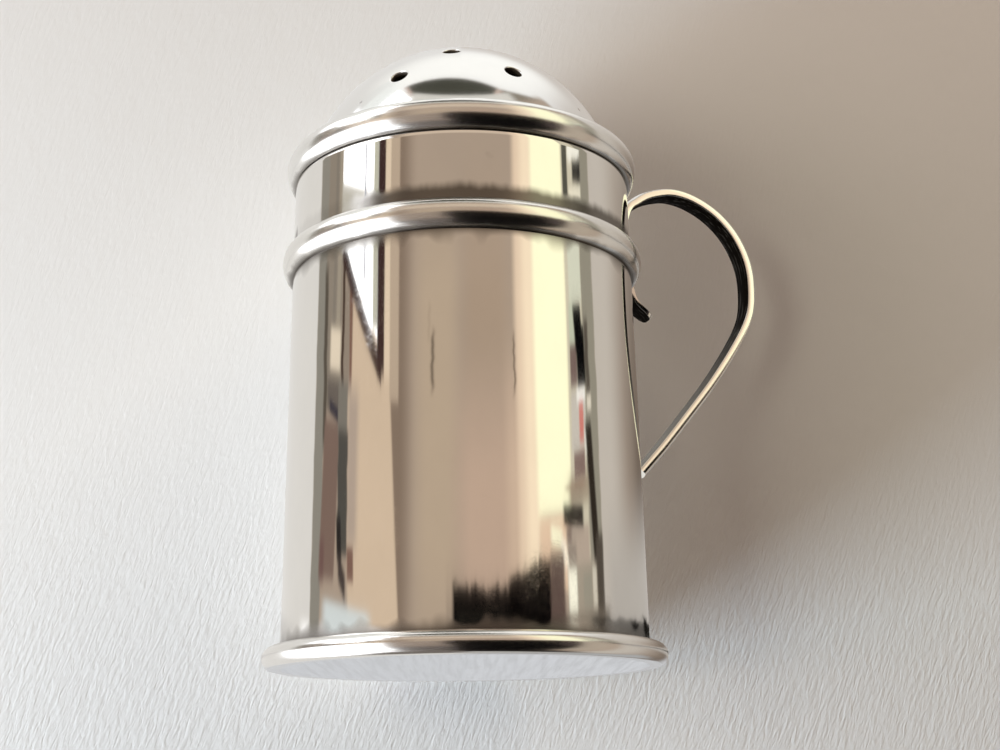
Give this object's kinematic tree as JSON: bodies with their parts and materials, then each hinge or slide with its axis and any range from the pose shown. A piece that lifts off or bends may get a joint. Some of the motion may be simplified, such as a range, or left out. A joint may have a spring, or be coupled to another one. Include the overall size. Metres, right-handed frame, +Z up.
{
  "type": "pepper pot",
  "caption": "Small cylindrical silver pepper pot with a strap handle, a wire girdle and a pull-off pierced dome lid.",
  "frame": {"origin": "where the pot's axis meets the flat underside of the base", "axes": "+Z up along the pot's axis; +X from the axis out through the middle of the handle"},
  "size_m": [0.0533, 0.0396, 0.0643],
  "materials": {
    "body_silver": "polished silver, warm, lightly worn",
    "base_silver": "polished silver with fine rubbing marks",
    "handle_silver": "polished silver, softer from handling",
    "lid_silver": "polished silver, bright",
    "bezel_silver": "plain drawn silver, less polished"
  },
  "bodies": {
    "pot": {"body_wall": "body_silver", "base_plate": "base_silver", "foot_rim": "body_silver", "girdle_wire": "body_silver", "handle_strap": "handle_silver"},
    "lid": {"lid_dome": "lid_silver", "lid_rim_wire": "lid_silver", "lid_bezel": "bezel_silver"}
  },
  "joints": [
    {"name": "lid_lift", "type": "slide", "parent": "pot", "child": "lid", "axis": [0, 0, 1], "range_m": [0, 0.02]}
  ]
}
